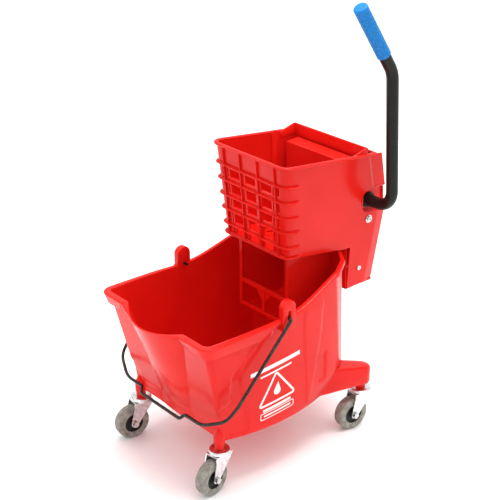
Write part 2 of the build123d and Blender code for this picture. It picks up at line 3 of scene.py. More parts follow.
from math import atan2, cos, hypot, pi, radians, sin, sqrt, tan

import bmesh
import bpy
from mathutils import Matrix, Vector


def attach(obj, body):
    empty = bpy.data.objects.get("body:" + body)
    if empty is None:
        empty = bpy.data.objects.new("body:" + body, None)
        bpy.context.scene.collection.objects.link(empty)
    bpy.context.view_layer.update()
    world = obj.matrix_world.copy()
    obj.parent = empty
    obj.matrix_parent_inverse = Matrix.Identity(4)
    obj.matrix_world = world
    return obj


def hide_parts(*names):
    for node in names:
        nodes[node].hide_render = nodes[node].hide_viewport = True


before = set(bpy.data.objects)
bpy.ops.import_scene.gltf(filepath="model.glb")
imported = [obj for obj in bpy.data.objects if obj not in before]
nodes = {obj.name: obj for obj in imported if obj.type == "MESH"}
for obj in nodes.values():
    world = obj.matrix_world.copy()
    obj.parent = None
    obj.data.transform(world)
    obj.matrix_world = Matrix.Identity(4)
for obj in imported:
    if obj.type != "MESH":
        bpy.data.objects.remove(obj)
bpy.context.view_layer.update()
MM = 0.001


# ---------------- material tools
def linear(code):
    """sRGB hex colour as linear RGBA."""
    channels = [int(code[i:i + 2], 16) / 255 for i in (0, 2, 4)]
    return [c / 12.92 if c <= 0.04045 else ((c + 0.055) / 1.055) ** 2.4 for c in channels] + [1.0]


def add(tree, kind, settings=None, **links):
    """Adds a node. settings sets properties or input values; links joins inputs to other outputs."""
    made = tree.nodes.new(kind)
    for key, value in (settings or {}).items():
        if isinstance(key, int) or key in made.inputs:
            made.inputs[key].default_value = value
        else:
            setattr(made, key, value)
    for key, source in links.items():
        name = key.replace("_", " ")
        slot = made.inputs[int(key[1:])] if key[0] == "i" and key[1:].isdigit() else made.inputs[name]
        tree.links.new(source, slot)
    return made


def new_material(name, **values):
    """Material with one Principled shader; values are its plain settings."""
    material = bpy.data.materials.new(name)
    material.use_nodes = True
    tree = material.node_tree
    shader = tree.nodes["Principled BSDF"]
    for key, value in values.items():
        shader.inputs[key.replace("_", " ")].default_value = value
    return material, tree, shader


def ramp(tree, source, stops):
    """Colour ramp over a factor; stops are position and hex pairs."""
    made = add(tree, "ShaderNodeValToRGB", Fac=source)
    elements = made.color_ramp.elements
    while len(elements) < len(stops):
        elements.new(0.5)
    for element, (position, code) in zip(elements, stops):
        element.position = position
        element.color = linear(code)
    return made


# ---------------- materials
def object_place(tree):
    return add(tree, "ShaderNodeTexCoord").outputs["Object"]


def add_roughness(tree, shader, source, low, high):
    """Roughness that follows a noise between two values."""
    made = add(tree, "ShaderNodeMapRange", {"To Min": low, "To Max": high}, Value=source)
    tree.links.new(made.outputs["Result"], shader.inputs["Roughness"])


def add_bump(tree, shader, source, strength, distance, **links):
    """Bump that follows a noise; distance is in metres."""
    made = add(tree, "ShaderNodeBump", {"Strength": strength, "Distance": distance}, Height=source, **links)
    tree.links.new(made.outputs["Normal"], shader.inputs["Normal"])


def grained(name, scale, stops, roughness, bump=None, detail=4.0, coarse=0.5, **values):
    """Material whose colour, roughness and bump follow one noise, with scale in cycles per metre."""
    material, tree, shader = new_material(name, **values)
    place = object_place(tree)
    noise = add(tree, "ShaderNodeTexNoise", {"Scale": scale, "Detail": detail, "Roughness": coarse},
                Vector=place)
    grain = noise.outputs["Fac"]
    colour = ramp(tree, grain, stops)
    tree.links.new(colour.outputs["Color"], shader.inputs["Base Color"])
    add_roughness(tree, shader, grain, *roughness)
    if bump:
        add_bump(tree, shader, grain, *bump)
    return material, tree, shader, place, colour


def moulded_polypropylene(name, base, shade, light):
    """Injection-moulded polypropylene: glossy saturated red, faintly uneven, with mould texture."""
    material, tree, shader = new_material(name, IOR=1.49, Specular_IOR_Level=0.18,
                                          Subsurface_Weight=0.05, Subsurface_Scale=0.003)
    shader.inputs["Subsurface Radius"].default_value = (1.0, 0.12, 0.08)
    place = object_place(tree)
    flow = add(tree, "ShaderNodeTexNoise", {"Scale": 7.0, "Detail": 3.0, "Roughness": 0.5}, Vector=place)
    colour = ramp(tree, flow.outputs["Fac"], [(0.30, shade), (0.52, base), (0.75, light)])
    tree.links.new(colour.outputs["Color"], shader.inputs["Base Color"])
    # handling marks 2 to 4 mm across, drawn as coarse as they need to show
    marks = add(tree, "ShaderNodeTexNoise", {"Scale": 300.0, "Detail": 4.0, "Roughness": 0.62}, Vector=place)
    add_roughness(tree, shader, marks.outputs["Fac"], 0.17, 0.27)
    # sink marks about 40 mm apart under the orange peel of the mould, about 1.2 mm between crests
    sink = add(tree, "ShaderNodeTexNoise", {"Scale": 24.0, "Detail": 1.0}, Vector=place)
    soft = add(tree, "ShaderNodeBump", {"Strength": 0.10, "Distance": 0.002}, Height=sink.outputs["Fac"])
    peel = add(tree, "ShaderNodeTexNoise", {"Scale": 820.0, "Detail": 2.0}, Vector=place)
    add_bump(tree, shader, peel.outputs["Fac"], 0.02, 0.0002, Normal=soft.outputs["Normal"])
    return material


def grey_rubber():
    """Non-marking thermoplastic rubber tread: dull grey, dusty, with mould flash and grit marks."""
    material, tree, shader, place, colour = grained(
        "grey_rubber", 90.0, [(0.30, "6C6860"), (0.50, "8A877E"), (0.72, "A5A298")], (0.62, 0.85),
        (0.25, 0.0004), detail=6.0, coarse=0.6, IOR=1.52, Specular_IOR_Level=0.35)
    grit = add(tree, "ShaderNodeTexVoronoi", {"Scale": 520.0}, Vector=place)
    specks = ramp(tree, grit.outputs["Distance"], [(0.05, "8C8880"), (0.16, "FFFFFF")])
    mix = add(tree, "ShaderNodeMix", {"data_type": "RGBA", "blend_type": "MULTIPLY", "Factor": 0.35},
              i6=colour.outputs["Color"], i7=specks.outputs["Color"])
    tree.links.new(mix.outputs[2], shader.inputs["Base Color"])
    return material


def plain_plastic(name, dark, pale, rough_low, rough_high, scale):
    """Moulded plastic in one colour with a fine matt grain."""
    return grained(name, scale, [(0.30, dark), (0.70, pale)], (rough_low, rough_high), (0.12, 0.0003),
                   IOR=1.5, Specular_IOR_Level=0.3)[0]


def zinc_plating(name, dark, pale, rough_low, rough_high):
    """Bright zinc on pressed or cold-headed steel: pale metal, with rolling lines and a dull bloom."""
    material, tree, shader, place, _ = grained(name, 130.0, [(0.32, dark), (0.62, pale)],
                                               (rough_low, rough_high), detail=5.0, coarse=0.6, Metallic=1.0)
    stretch = add(tree, "ShaderNodeMapping", {"Scale": (900.0, 900.0, 60.0)}, Vector=place)
    lines = add(tree, "ShaderNodeTexNoise", {"Scale": 1.0, "Detail": 3.0}, Vector=stretch.outputs["Vector"])
    add_bump(tree, shader, lines.outputs["Fac"], 0.12, 0.0002)
    return material


def powder_coat():
    """Black polyester powder coat on steel tube: dark satin with a fine orange peel."""
    material, tree, shader, place, _ = grained("black_powder_coat", 40.0, [(0.3, "121110"), (0.7, "1D1B18")],
                                               (0.34, 0.46), IOR=1.5, Specular_IOR_Level=0.2)
    # powder grains melt into crests about 1.5 mm apart
    peel = add(tree, "ShaderNodeTexNoise", {"Scale": 650.0, "Detail": 2.0}, Vector=place)
    add_bump(tree, shader, peel.outputs["Fac"], 0.22, 0.0003)
    return material


def coated_wire():
    """Phosphated and oiled steel wire: dark brown-grey, half metallic, with worn pale patches."""
    return grained("coated_wire", 160.0, [(0.35, "1E1B19"), (0.62, "3A3633"), (0.78, "6A655F")],
                   (0.25, 0.45), (0.15, 0.0002), detail=5.0, coarse=0.6, Metallic=0.55, IOR=1.5)[0]


def dipped_vinyl():
    """Plastisol vinyl hand grip: bright blue, soft sheen, slightly mottled."""
    return grained("dipped_vinyl", 220.0, [(0.30, "0468AC"), (0.55, "0576BE"), (0.78, "0F84CA")],
                   (0.36, 0.55), (0.2, 0.0004), IOR=1.53, Specular_IOR_Level=0.22)[0]


red_tub = moulded_polypropylene("moulded_polypropylene_tub", "DA1B14", "D21711", "E02018")
red_wringer = moulded_polypropylene("moulded_polypropylene_wringer", "DA1A13", "D21610", "E01F17")
red_press = moulded_polypropylene("moulded_polypropylene_press", "D61C16", "CC1712", "DC221B")
tyre_grey = grey_rubber()
hub_black = plain_plastic("moulded_nylon_hub", "100F0E", "1B1917", 0.42, 0.6, 420.0)
natural_nylon = plain_plastic("natural_nylon", "CFCBBE", "E2DFD4", 0.4, 0.55, 380.0)
cap_black = plain_plastic("polyethylene_cap", "131211", "211F1D", 0.45, 0.6, 350.0)
pressed_zinc = zinc_plating("zinc_plated_pressing", "C3C5C7", "E9EAEB", 0.22, 0.30)
bolt_zinc = zinc_plating("zinc_plated_bolt", "A5A6A6", "E4E4E2", 0.18, 0.34)
crank_zinc = zinc_plating("zinc_plated_crank", "6F7072", "A9AAAC", 0.3, 0.5)
spring_steel = zinc_plating("oiled_spring_steel", "2E2E2F", "58585A", 0.3, 0.45)
tube_black = powder_coat()
wire_dark = coated_wire()
grip_blue = dipped_vinyl()
print_white = plain_plastic("screen_print_ink", "E4E2DE", "F6F5F2", 0.35, 0.5, 500.0)


# ---------------- finish of the frame's own nodes
FINISHES = {"tub": red_tub, "wringer_body": red_wringer, "rear_cover": red_wringer, "press_plate": red_press,
            "handle_tube": tube_black, "handle_grip": grip_blue, "bail_wire": wire_dark,
            "return_spring": spring_steel, "shaft_end_cap": cap_black, "crank_left": crank_zinc,
            # the shaft bushes take the black hub nylon as painted shade: drawn dark for the shadowed hole
            # where the tube enters the side plate
            "crank_right": crank_zinc, "shaft_bush_left": hub_black, "shaft_bush_right": hub_black,
            "_tyre": tyre_grey, "_hub": hub_black, "_fork": pressed_zinc, "_raceway": pressed_zinc,
            "_stem": bolt_zinc, "_axle_bolt": bolt_zinc, "_screws": bolt_zinc, "_washers": bolt_zinc,
            "_pins": bolt_zinc}


def finish_for(name):
    """Material of a CAD node, from its name's ending."""
    return next((finish for end, finish in FINISHES.items() if name.endswith(end)), natural_nylon)


for name, obj in nodes.items():
    obj.data.materials.clear()
    obj.data.materials.append(finish_for(name))


# ---------------- mesh tools
def arc_points(first, middle, last, count):
    """Points along the circle through three plan points."""
    (ax, ay), (bx, by), (cx, cy) = first, middle, last
    double = 2 * (ax * (by - cy) + bx * (cy - ay) + cx * (ay - by))
    a2, b2, c2 = ax * ax + ay * ay, bx * bx + by * by, cx * cx + cy * cy
    mx = (a2 * (by - cy) + b2 * (cy - ay) + c2 * (ay - by)) / double
    my = (a2 * (cx - bx) + b2 * (ax - cx) + c2 * (bx - ax)) / double
    radius = hypot(ax - mx, ay - my)
    start = atan2(ay - my, ax - mx)
    turn = (atan2(cy - my, cx - mx) - start + pi) % (2 * pi) - pi
    return [(mx + radius * cos(start + turn * k / count), my + radius * sin(start + turn * k / count))
            for k in range(count + 1)]


def turned_arc(centre, radius, start, turn, count):
    """Points round a centre from a start angle through a turn, both in degrees."""
    angles = [radians(start + turn * k / count) for k in range(count + 1)]
    return [(centre[0] + radius * cos(a), centre[1] + radius * sin(a)) for a in angles]


def smooth(value, low, high):
    """0 at low, 1 at high, eased between."""
    t = min(1.0, max(0.0, (value - low) / (high - low)))
    return t * t * (3 - 2 * t)


def level(value, points):
    """Piecewise linear value from ascending (position, value) pairs."""
    if value <= points[0][0]:
        return points[0][1]
    for (p, a), (q, b) in zip(points, points[1:]):
        if value <= q:
            return a + (b - a) * (value - p) / (q - p)
    return points[-1][1]


ORIGIN_SHIFT = Vector((0.0, 7.0, 0.0))      # the tub's centre line lies this far from the frame's origin


class Surface:
    """Points in millimetres and faces, gathered for one mesh."""

    def __init__(self):
        self.points = []
        self.faces = []

    def row(self, points):
        first = len(self.points)
        self.points.extend(points)
        return list(range(first, first + len(points)))

    def grid(self, rows, closed=False, skip=None):
        """Quads between rows of points; skip(i, j) leaves a cell open."""
        made = [self.row(points) for points in rows]
        for i, (a, b) in enumerate(zip(made, made[1:])):
            count = len(a) if closed else len(a) - 1
            for j in range(count):
                if skip is None or not skip(i, j):
                    k = (j + 1) % len(a)
                    self.faces.append((a[j], a[k], b[k], b[j]))
        return made

    def cap(self, ring):
        self.faces.append(tuple(ring))

    def skin(self, rows):
        """Closed solid through rings of points, with its first and last ring capped."""
        made = self.grid(rows, closed=True)
        self.cap(made[0])
        self.cap(made[-1])

    def lathe(self, profile, centre, count=40):
        """Turned solid about a vertical line; the profile is radius and height pairs."""
        rows = [[(centre[0] + r * cos(2 * pi * k / count), centre[1] + r * sin(2 * pi * k / count), z)
                 for k in range(count)] for r, z in profile]
        self.skin(rows)

    def prism(self, outline, place, low, high):
        """Closed prism: place(a, b, t) gives the point of outline point a, b at depth t."""
        made = [self.row([place(a, b, t) for a, b in outline]) for t in (low, high)]
        for j in range(len(outline)):
            k = (j + 1) % len(outline)
            self.faces.append((made[0][j], made[0][k], made[1][k], made[1][j]))
        self.cap(made[0])
        self.cap(made[1])


def to_object(surface, name, material, crease=35.0, weld=True):
    """Mesh object from gathered points, normals outward, shaded smooth up to the crease angle.

    Prisms that only touch each other are left unwelded, so that each stays a closed solid."""
    mesh = bpy.data.meshes.new(name)
    mesh.from_pydata([(Vector(p) + ORIGIN_SHIFT) * MM for p in surface.points], [], surface.faces)
    made = bmesh.new()
    made.from_mesh(mesh)
    if weld:
        bmesh.ops.remove_doubles(made, verts=made.verts, dist=0.00002)
        bmesh.ops.dissolve_degenerate(made, edges=made.edges, dist=0.00001)
    bmesh.ops.delete(made, geom=[v for v in made.verts if not v.link_faces], context="VERTS")
    bmesh.ops.recalc_face_normals(made, faces=made.faces)
    made.to_mesh(mesh)
    made.free()
    mesh.shade_smooth()
    mesh.set_sharp_from_angle(angle=radians(crease))
    mesh.materials.append(material)
    obj = bpy.data.objects.new(name, mesh)
    bpy.context.scene.collection.objects.link(obj)
    return obj


def settle(obj, *modifiers, crease=35.0):
    """Adds modifiers given as (kind, settings) and applies them to the mesh."""
    for number, (kind, settings) in enumerate(modifiers):
        modifier = obj.modifiers.new(f"step_{number}", kind)
        for key, value in settings.items():
            setattr(modifier, key, value)
    bpy.context.view_layer.update()
    graph = bpy.context.evaluated_depsgraph_get()
    obj.data = bpy.data.meshes.new_from_object(obj.evaluated_get(graph), depsgraph=graph)
    obj.modifiers.clear()
    obj.data.shade_smooth()
    obj.data.set_sharp_from_angle(angle=radians(crease))
    return obj


def rounded(width, segments=2, angle=50.0):
    """Bevel of every edge sharper than an angle; width is in millimetres."""
    return ("BEVEL", {"width": width * MM, "segments": segments, "limit_method": "ANGLE",
                      "angle_limit": radians(angle)})


def both_halves(right):
    """Whole ring from its right half, which starts and ends on the middle plane."""
    return right + [(-x, y, z) for x, y, z in right[-2:0:-1]]


def fit(obj, body, slot, *stood_for):
    """Puts a piece on its body, in place of the named nodes; the slot is not used."""
    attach(obj, body)
    if stood_for:
        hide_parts(*stood_for)


# ---------------- tub
FLOOR_Z, BEND_Z, LOFT_TOP = 111.0, 165.0, 430.0
WALL = 3.5
RIM_FRONT, RIM_RISE = 361.0, 57.0
SPOUT_HALF, SPOUT_LOW_HALF, SPOUT_DIP = 95.0, 50.0, 12.0
# height, front half width, front Y, side Y and half width at the widest, rear half width and Y
# where the side ends, half width and Y of the rear wall, bulge of the pouring face
OUTLINES = [
    (FLOOR_Z, 138.0, -208.0, -35.0, 165.0, 132.0, 92.0, 78.0, 132.0, 2.0),
    (BEND_Z, 144.0, -219.0, -40.0, 166.0, 152.0, 96.0, 66.0, 165.0, 9.0),
    (LOFT_TOP, 168.0, -283.0, -90.0, 171.5, 156.0, 64.0, 55.0, 165.0, 51.0),
]
SPOUT_COLUMNS, FRONT_COLUMNS, CORNER_COLUMNS = 24, 14, 8
SIDE_COLUMNS, REAR_COLUMNS, BACK_COLUMNS = 88, 30, 8
REAR_FACETS = (0.0, 0.19, 0.48, 0.76, 1.0)      # creases of the faceted rear corner, as shares of its arc
EDGE_ROUND = 0.012                              # half width of a rounded crease, as a share of the arc


def rim_height(y):
    t = min(1.0, max(0.0, (y + 75.0) / 235.0)) ** 1.08
    return RIM_FRONT + RIM_RISE * t * t * (3 - 2 * t)


def outline_values(z):
    low, high = (OUTLINES[0], OUTLINES[1]) if z < BEND_Z else (OUTLINES[1], OUTLINES[2])
    share = max(0.0, (z - low[0]) / (high[0] - low[0]))
    if z < BEND_Z:
        share += 0.45 * (sqrt(1 - (1 - share) ** 2) - share)
    return [a + (b - a) * share for a, b in zip(low, high)]


def faceted_arc(points_of):
    """Rear corner: flat facets between creases, each crease rounded a little."""
    stops = []
    for share in REAR_FACETS[1:-1]:
        stops += [share - EDGE_ROUND, share + EDGE_ROUND]
    corners = [points_of(s) for s in (0.0, *stops, 1.0)]
    result = []
    for k in range(len(corners) - 1):
        pieces = 1 if k % 2 else REAR_COLUMNS // (len(REAR_FACETS) - 1)
        (ax, ay), (bx, by) = corners[k], corners[k + 1]
        result += [(ax + (bx - ax) * i / pieces, ay + (by - ay) * i / pieces) for i in range(1, pieces + 1)]
    return result


def tub_half(z, out):
    """Right half of the wall outline, from the middle of the front to the middle of the rear."""
    _, xf, yf, yw, xw, xs, ys, xr, yr, bulge = outline_values(z)
    corner = level(z, [(BEND_Z, 7.0), (RIM_FRONT, 16.0)])
    front = yf - out
    half = level(z, [(150.0, SPOUT_LOW_HALF), (RIM_FRONT, SPOUT_HALF)])
    points = [(half * k / SPOUT_COLUMNS, front - bulge * (1 - (k / SPOUT_COLUMNS) ** 2))
              for k in range(SPOUT_COLUMNS)]
    end = xf + 8.0 - corner
    points += [(half + (end - half) * k / FRONT_COLUMNS, front) for k in range(FRONT_COLUMNS)]
    for k in range(CORNER_COLUMNS):
        a = pi / 2 * k / CORNER_COLUMNS
        points.append((end + (corner + out) * sin(a), front + (yf + corner - front) * (1 - cos(a))))
    side = (xf + 8.0 + out, yf + corner)
    points += arc_points(side, (xw + out, yw), (xs + out, ys), SIDE_COLUMNS)
    middle = (xr + (xs - xr) * 0.72 + out * 0.7, ys + (yr - ys) * 0.70 + out * 0.7)
    fine = arc_points((xs + out, ys), middle, (xr, yr + out), 100)

    def along(share):
        k = min(99, int(share * 100))
        t = share * 100 - k
        return tuple(a + (b - a) * t for a, b in zip(fine[k], fine[k + 1]))
    points += faceted_arc(along)
    points += [(xr * (1 - k / BACK_COLUMNS), yr + out) for k in range(1, BACK_COLUMNS + 1)]
    return points


class Columns:
    """Wall points and outward directions of each column, from outlines a few millimetres apart."""
    step = 4.0

    def __init__(self):
        self.kept = {}

    def outline(self, number):
        if number not in self.kept:
            points = tub_half(number * self.step, 0.0)
            before = [(-points[1][0], points[1][1])] + points[:-1]
            after = points[1:] + [(-points[-2][0], points[-2][1])]
            outward = []
            for (ax, ay), (bx, by) in zip(before, after):
                length = hypot(bx - ax, by - ay)
                outward.append(((by - ay) / length, (ax - bx) / length))
            self.kept[number] = (points, outward)
        return self.kept[number]

    def at(self, column, z, out):
        number = int(z // self.step)
        share = z / self.step - number
        (low, low_way), (high, high_way) = self.outline(number), self.outline(number + 1)
        x, y = (a + (b - a) * share for a, b in zip(low[column], high[column]))
        wx, wy = (a + (b - a) * share for a, b in zip(low_way[column], high_way[column]))
        length = hypot(wx, wy)
        return x + wx / length * out, y + wy / length * out

    def count(self):
        return len(self.outline(int(RIM_FRONT // self.step))[0])


tub_columns = Columns()


FRONT_LINE = [(35.0, 150.0), (113.0, 150.0), (136.0, 167.0), (158.0, 205.0)]    # X and height
PANEL_FORE = [(205.0, -226.0), (220.0, -222.0), (246.0, -222.0), (282.0, -193.0), (300.0, -165.0)]
PANEL_AFT = [(126.0, -150.0), (158.0, -156.0), (237.0, -175.0), (258.0, -179.0), (298.0, -171.0),
             (318.0, -151.0), (335.0, -140.0)]
BAND_FORE = [(137.0, 8.0), (302.0, -5.0)]
BAND_AFT = [(169.0, 24.0), (221.0, 38.0), (293.0, 49.0), (345.0, 54.0)]
PANEL_SUNK, BAND_RAISED, SLOT_SUNK = 2.2, 1.4, 3.0
ALL_ROUND = -300.0              # a Y ahead of the whole tub


def between(value, low, high, ease):
    """1 between two limits, eased to 0 outside them."""
    return smooth(value, low - ease, low + ease) * (1 - smooth(value, high - ease, high + ease))


def tub_relief(x, y, z):
    """Raised and sunk zones of the outer wall, as millimetres outward."""
    if y < -200.0:
        line = level(x, FRONT_LINE)
        sunk = 1 - smooth(z, line - 1.5, line + 1.5)
    else:
        fore = ALL_ROUND if z < 205.0 else level(z, PANEL_FORE)
        sunk = between(y, fore, level(z, PANEL_AFT), 1.5)
    fore, aft = level(z, BAND_FORE), level(z, BAND_AFT)
    band = smooth(y, fore - 1.5, fore + 1.5) * (1 - smooth(y, aft - 3, aft + 3)) * (1 - smooth(z, 345, 365))
    slot = between(y, 44.0, 68.0, 2.0) * between(z, 164.0, 232.0, 4.0)
    return (BAND_RAISED * band - PANEL_SUNK * sunk - SLOT_SUNK * slot) * smooth(z, 118.0, 128.0)


LIP_WIDTHS = [(-250.0, 12.5), (-200.0, 10.5), (-112.0, 9.0), (-95.0, 7.5), (120.0, 7.5), (165.0, 6.0)]
SPOUT_LIP, CORNER_LIP = 0.9, 12.5
BEAD_DEEP, SIDE_BEAD_DEEP, SKIRT_DEEP = 4.2, 9.0, 26.0


def at_front(x, y):
    return y < -235.0 and x < 160.0


def lip_width(x, y):
    """How far the rim lip stands out: almost nothing at the spout, widest at the corners."""
    if at_front(x, y):
        return SPOUT_LIP + (CORNER_LIP - SPOUT_LIP) * smooth(x, 50.0, 100.0)
    return level(y, LIP_WIDTHS)


def skirt_depth(x, y):
    """Depth of the skirt under the lip: deep round the front corners, a plain bead behind the bail."""
    if at_front(x, y):
        return BEAD_DEEP + (SKIRT_DEEP - BEAD_DEEP) * smooth(x, 92.0, 128.0)
    return SKIRT_DEEP + (SIDE_BEAD_DEEP - SKIRT_DEEP) * smooth(y, -112.0, -96.0)


OUTER_ROWS, INNER_ROWS = 84, 26


def tub_profile(column):
    """Heights and offsets of one column, from under the floor, up outside and down inside."""
    x, y = tub_columns.at(column, RIM_FRONT, 0.0)
    dip = SPOUT_DIP * (1 - (x / SPOUT_HALF) ** 2) if column < SPOUT_COLUMNS else 0.0
    top = rim_height(y) - dip
    lip, skirt = lip_width(x, y), skirt_depth(x, y)
    under = max(0.15, lip - 3.0)
    face = lip - 2.2 * smooth(skirt, 12.0, 24.0)        # the skirt leans in a little towards its foot
    foot = FLOOR_Z + 8.0
    wall_top = top - 5.0
    rows = [(-5.5, FLOOR_Z + 0.7), (-2.2, FLOOR_Z + 2.6), (-0.6, FLOOR_Z + 5.0)]
    rows += [(None, foot + (wall_top - foot) * k / OUTER_ROWS) for k in range(OUTER_ROWS + 1)]
    rows += [(under * 0.3, top - 3.4), (under, top - 3.2), (min(under, face - 0.1), top - skirt + 0.4),
             (under + (face - under) * 0.25, top - skirt), (face - (face - under) * 0.25, top - skirt),
             (face, top - skirt + 0.6), (lip, top - 3.6), (lip * 0.88, top - 1.5),
             (lip * 0.66, top - 0.6), (lip * 0.3, top - 0.2), (-1.4, top), (-2.8, top - 0.4),
             (-WALL, top - 1.6)]
    low = FLOOR_Z + 11.0
    rows += [(-WALL, top - 3.0 + (low - top + 3.0) * k / INNER_ROWS) for k in range(INNER_ROWS + 1)]
    rows.append((-WALL - 1.2, FLOOR_Z + 7.6))
    return rows


MIDDLE_Y = -20.0
UNDERSIDE = [(0.08, 0.0), (0.05, 0.0), (0.03, 0.1)]      # share drawn in, and height above the underside
TUB_FLOOR = [(0.012, 5.2), (0.03, 4.2), (0.045, 4.0), (0.08, 4.0)]


def drawn_in(ring, share, z):
    """Ring moved towards the middle of the tub by a share of its distance, at another height."""
    return [(x * (1 - share), MIDDLE_Y + (y - MIDDLE_Y) * (1 - share), z) for x, y, _ in ring]


def make_tub_shell():
    """The whole tub wall with floor, rolled rim and skirt, as one closed surface."""
    halves = []
    for column in range(tub_columns.count()):
        line = []
        for out, z in tub_profile(column):
            if out is None:
                x, y = tub_columns.at(column, z, 0.0)
                out = tub_relief(x, y, z)
            line.append((*tub_columns.at(column, z, out), z))
        halves.append(line)
    rows = [both_halves([line[k] for line in halves]) for k in range(len(halves[0]))]
    under = [drawn_in(rows[0], share, FLOOR_Z + rise) for share, rise in UNDERSIDE]
    inside = [drawn_in(rows[-1], share, FLOOR_Z + rise) for share, rise in TUB_FLOOR]
    surface = Surface()
    surface.skin(under + rows + inside)
    return surface


CASTERS = {"front_left": (-137.4, -210.7), "front_right": (137.4, -210.7),
           "rear_left": (-150.2, 184.7), "rear_right": (150.2, 184.7)}
LEG_ROOT = (112.0, 80.0, 32.0)      # X, Y and radius where a rear leg grows out of the tub
LEG_END_R = 20.0
LEG_TOP = [(95.0, 173.0), (205.0, 151.0)]       # Y and height
# radius and height of the posts round the caster stems
POST_FOOT = [(6.5, 96.6), (9.9, 96.6), (10.5, 97.3)]
REAR_POST = [(10.5, 107.0), (13.0, 111.5), (13.0, 130.0)]
FRONT_POST = [(10.5, 105.0), (12.0, 108.5), (12.5, 112.5), (12.5, 130.0), (4.0, 150.0)]


def leg_ring(side, end, inset, z_of):
    """Outline round both ends of a rear leg, drawn in by inset."""
    ring = []
    for k in range(72):
        way = (cos(2 * pi * k / 72), sin(2 * pi * k / 72))
        discs = [(side * LEG_ROOT[0], LEG_ROOT[1], LEG_ROOT[2]), (end[0], end[1], LEG_END_R)]
        x, y, r = max(discs, key=lambda d: d[0] * way[0] + d[1] * way[1] + d[2])
        point = (x + (r - inset) * way[0], y + (r - inset) * way[1])
        ring.append((*point, z_of(point[1])))
    return ring


def make_room():
    """Solid that fills the tub's hollow near the floor, to cut feet that would show inside."""
    surface = Surface()
    rows = []
    for z in (FLOOR_Z + 3.6, 130.0, 150.0, 165.0, 180.0, 200.0):
        inset = [(*tub_columns.at(column, z, 0.8 - WALL), z) for column in range(tub_columns.count())]
        rows.append(both_halves(inset))
    surface.skin(rows)
    return to_object(surface, "tub_room_tool", red_tub)


def make_feet():
    """Rear legs that slope down to their casters, and a round post over every caster stem."""
    legs, posts = Surface(), Surface()
    for name, (x, y) in CASTERS.items():
        if "rear" in name:
            side = 1 if x > 0 else -1
            rows = [leg_ring(side, (x, y), inset, lambda _, z=FLOOR_Z + rise: z)
                    for inset, rise in ((3.5, 0.0), (1.0, 0.7), (0.0, 3.0))]
            for inset, drop in ((0.0, 6.0), (0.7, 3.2), (2.6, 1.0), (6.0, 0.0)):
                rows.append(leg_ring(side, (x, y), inset,
                                     lambda y, d=drop: level(y, LEG_TOP) - d))
            legs.skin(rows)
            posts.lathe(POST_FOOT + REAR_POST, (x, y))
        else:
            posts.lathe(POST_FOOT + FRONT_POST, (x, y))
    room = make_room()
    for name, surface in (("rear_legs", legs), ("caster_posts", posts)):
        feet = to_object(surface, name, red_tub, crease=32.0)
        settle(feet, ("BOOLEAN", {"operation": "DIFFERENCE", "object": room, "solver": "EXACT"}), crease=32.0)
        fit(feet, "tub", "tub_plastic")
    bpy.data.objects.remove(room)


BOSS_Y, BOSS_R, BOSS_TOP, BOSS_FOOT = -61.0, 17.0, 401.0, 336.0
BOSS_IN, BOSS_OUT = 166.0, 181.0
WIRE_Z, WIRE_R = 362.0, 3.6
KEYHOLE_LONG, KEYHOLE_DEEP = 13.0, 6.0


def make_bail_boss(side):
    """Rounded ear for the bail, with the keyhole that its wire end drops into."""
    centre = BOSS_TOP - BOSS_R
    outline = [(BOSS_Y - BOSS_R, BOSS_FOOT)]
    outline += turned_arc((BOSS_Y, centre), BOSS_R, 180.0, -180.0, 28)
    outline += [(BOSS_Y + BOSS_R, BOSS_FOOT)]
    ear = Surface()
    ear.prism(outline, lambda a, b, t: (side * t, a, b), BOSS_IN, BOSS_OUT)
    cutter = Surface()
    slot = turned_arc((BOSS_Y, WIRE_Z), WIRE_R, 180.0, 180.0, 16)
    slot += turned_arc((BOSS_Y, WIRE_Z + KEYHOLE_LONG), WIRE_R, 0.0, 180.0, 16)
    cutter.prism(slot, lambda a, b, t: (side * t, a, b), BOSS_OUT - KEYHOLE_DEEP, BOSS_OUT + 4.0)
    tool = to_object(cutter, "keyhole_tool", red_tub)
    name = "bail_boss_right" if side > 0 else "bail_boss_left"
    boss = to_object(ear, name, red_tub)
    settle(boss, ("BOOLEAN", {"operation": "DIFFERENCE", "object": tool, "solver": "EXACT"}),
           rounded(1.6, 3, 40.0))
    bpy.data.objects.remove(tool)
    fit(boss, "tub", "tub_plastic")


def make_tub():
    fit(to_object(make_tub_shell(), "tub_shell", red_tub, crease=32.0), "tub", "tub_plastic", "tub")
    make_feet()
    for side in (1, -1):
        make_bail_boss(side)


# ---------------- print on the tub's side
def wall_spot(y, z, lift):
    """Point of the right side wall at Y and height, lifted off it along its outward direction."""
    first = SPOUT_COLUMNS + FRONT_COLUMNS + CORNER_COLUMNS
    low, high = first, first + SIDE_COLUMNS
    while high - low > 1:
        middle = (low + high) // 2
        if tub_columns.at(middle, z, 0.0)[1] < y:
            low = middle
        else:
            high = middle
    (ax, ay), (bx, by) = tub_columns.at(low, z, 0.0), tub_columns.at(high, z, 0.0)
    x = ax + (bx - ax) * (y - ay) / (by - ay)
    length = hypot(bx - ax, by - ay)
    rise = tub_relief(x, y, z) + lift
    return (x + (by - ay) / length * rise, y - (bx - ax) / length * rise, z)


def printed_line(surface, path, width, closed):
    """Flat band of ink along a path of Y and height points."""
    path = subdivided(path, closed)
    count = len(path)
    sides = ([], [])
    for k in range(count):
        before = path[k - 1] if closed or k else path[0]
        after = path[(k + 1) % count] if closed or k < count - 1 else path[-1]
        dy, dz = after[0] - before[0], after[1] - before[1]
        length = hypot(dy, dz)
        for side, sign in zip(sides, (0.5, -0.5)):
            y, z = path[k][0] - dz / length * width * sign, path[k][1] + dy / length * width * sign
            side.append(wall_spot(y, z, PRINT_LIFT))
    loops = [[a, b] for a, b in zip(*sides)]
    if closed:
        loops.append(loops[0])
    surface.grid(loops)


